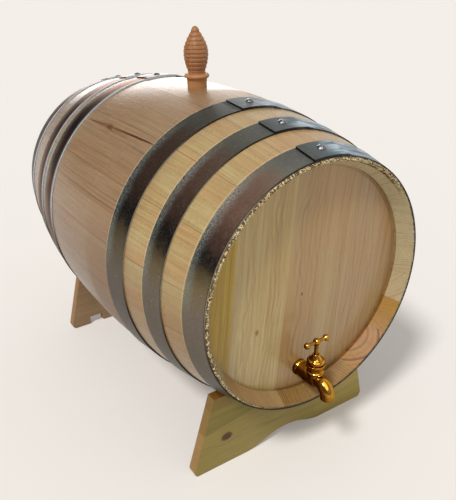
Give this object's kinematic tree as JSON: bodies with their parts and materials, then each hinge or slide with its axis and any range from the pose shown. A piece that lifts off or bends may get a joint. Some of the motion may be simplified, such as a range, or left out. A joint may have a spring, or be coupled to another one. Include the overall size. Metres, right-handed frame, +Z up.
{
  "type": "wooden barrel dispenser",
  "caption": "Hooped wooden barrel lying on a notched two-board stand, with a turned bung on top and a small screw-down brass tap low in one head.",
  "frame": {"origin": "middle of the bounding box at floor level, under the barrel", "axes": "+Z up, +Y from the tapped head towards the plain head, +X to the right seen from the tap"},
  "size_m": [0.3018, 0.4664, 0.4163],
  "materials": {
    "stave_wood": "planed and lightly oiled, fine grain along the stave",
    "head_wood": "planed, pale, upright grain",
    "bung_wood": "turned, orange brown",
    "stand_wood": "sawn and sanded softwood",
    "dowel_wood": "turned hardwood",
    "hoop_iron": "galvanised strip gone dark",
    "rivet_steel": "bright round head",
    "tap_brass": "polished",
    "packing_fibre": "greased fibre ring",
    "washer_rubber": "plain"
  },
  "bodies": {
    "stand": {"front_cradle": "stand_wood", "rear_cradle": "stand_wood", "stretcher": "stand_wood", "stretcher_dowels": "dowel_wood"},
    "barrel": {"stave_01": "stave_wood", "stave_02": "stave_wood", "stave_03": "stave_wood", "stave_04": "stave_wood", "stave_05": "stave_wood", "stave_06": "stave_wood", "stave_07": "stave_wood", "stave_08": "stave_wood", "stave_09": "stave_wood", "stave_10": "stave_wood", "stave_11": "stave_wood", "stave_12": "stave_wood", "stave_13": "stave_wood", "stave_14": "stave_wood", "stave_15": "stave_wood", "stave_16": "stave_wood", "stave_17": "stave_wood", "stave_18": "stave_wood", "front_head_board_1": "head_wood", "front_head_board_2": "head_wood", "front_head_board_3": "head_wood", "front_head_board_4": "head_wood", "rear_head_board_1": "head_wood", "rear_head_board_2": "head_wood", "rear_head_board_3": "head_wood", "rear_head_board_4": "head_wood", "front_head_dowels": "dowel_wood", "rear_head_dowels": "dowel_wood", "front_chime_hoop": "hoop_iron", "front_quarter_hoop": "hoop_iron", "front_bilge_hoop": "hoop_iron", "rear_chime_hoop": "hoop_iron", "rear_quarter_hoop": "hoop_iron", "rear_bilge_hoop": "hoop_iron", "hoop_rivets": "rivet_steel", "tap_body": "tap_brass", "tap_bonnet": "tap_brass", "tap_packing": "packing_fibre"},
    "bung": {"bung": "bung_wood"},
    "jumper": {"tap_jumper": "tap_brass", "tap_washer": "washer_rubber"},
    "spindle": {"tap_spindle": "tap_brass", "tap_handle": "tap_brass"}
  },
  "joints": [
    {"name": "barrel_lift", "type": "slide", "parent": "stand", "child": "barrel", "axis": [0, 0, 1], "range_m": [0, 0.15]},
    {"name": "bung_lift", "type": "slide", "parent": "barrel", "child": "bung", "axis": [0, 0, 1], "range_m": [0, 0.06]},
    {"name": "valve_lift", "type": "slide", "parent": "barrel", "child": "jumper", "axis": [0, 0, 1], "range_m": [0, 0.0023]},
    {"name": "handle_turn", "type": "hinge", "parent": "jumper", "child": "spindle", "pos_m": [-0.006, -0.2078, 0.1405], "axis": [0, 0, 1], "range_deg": [0, 540]}
  ],
  "couplings": [
    {"joint": "valve_lift", "follows": "handle_turn", "m_per_rad": 0.00023873}
  ]
}
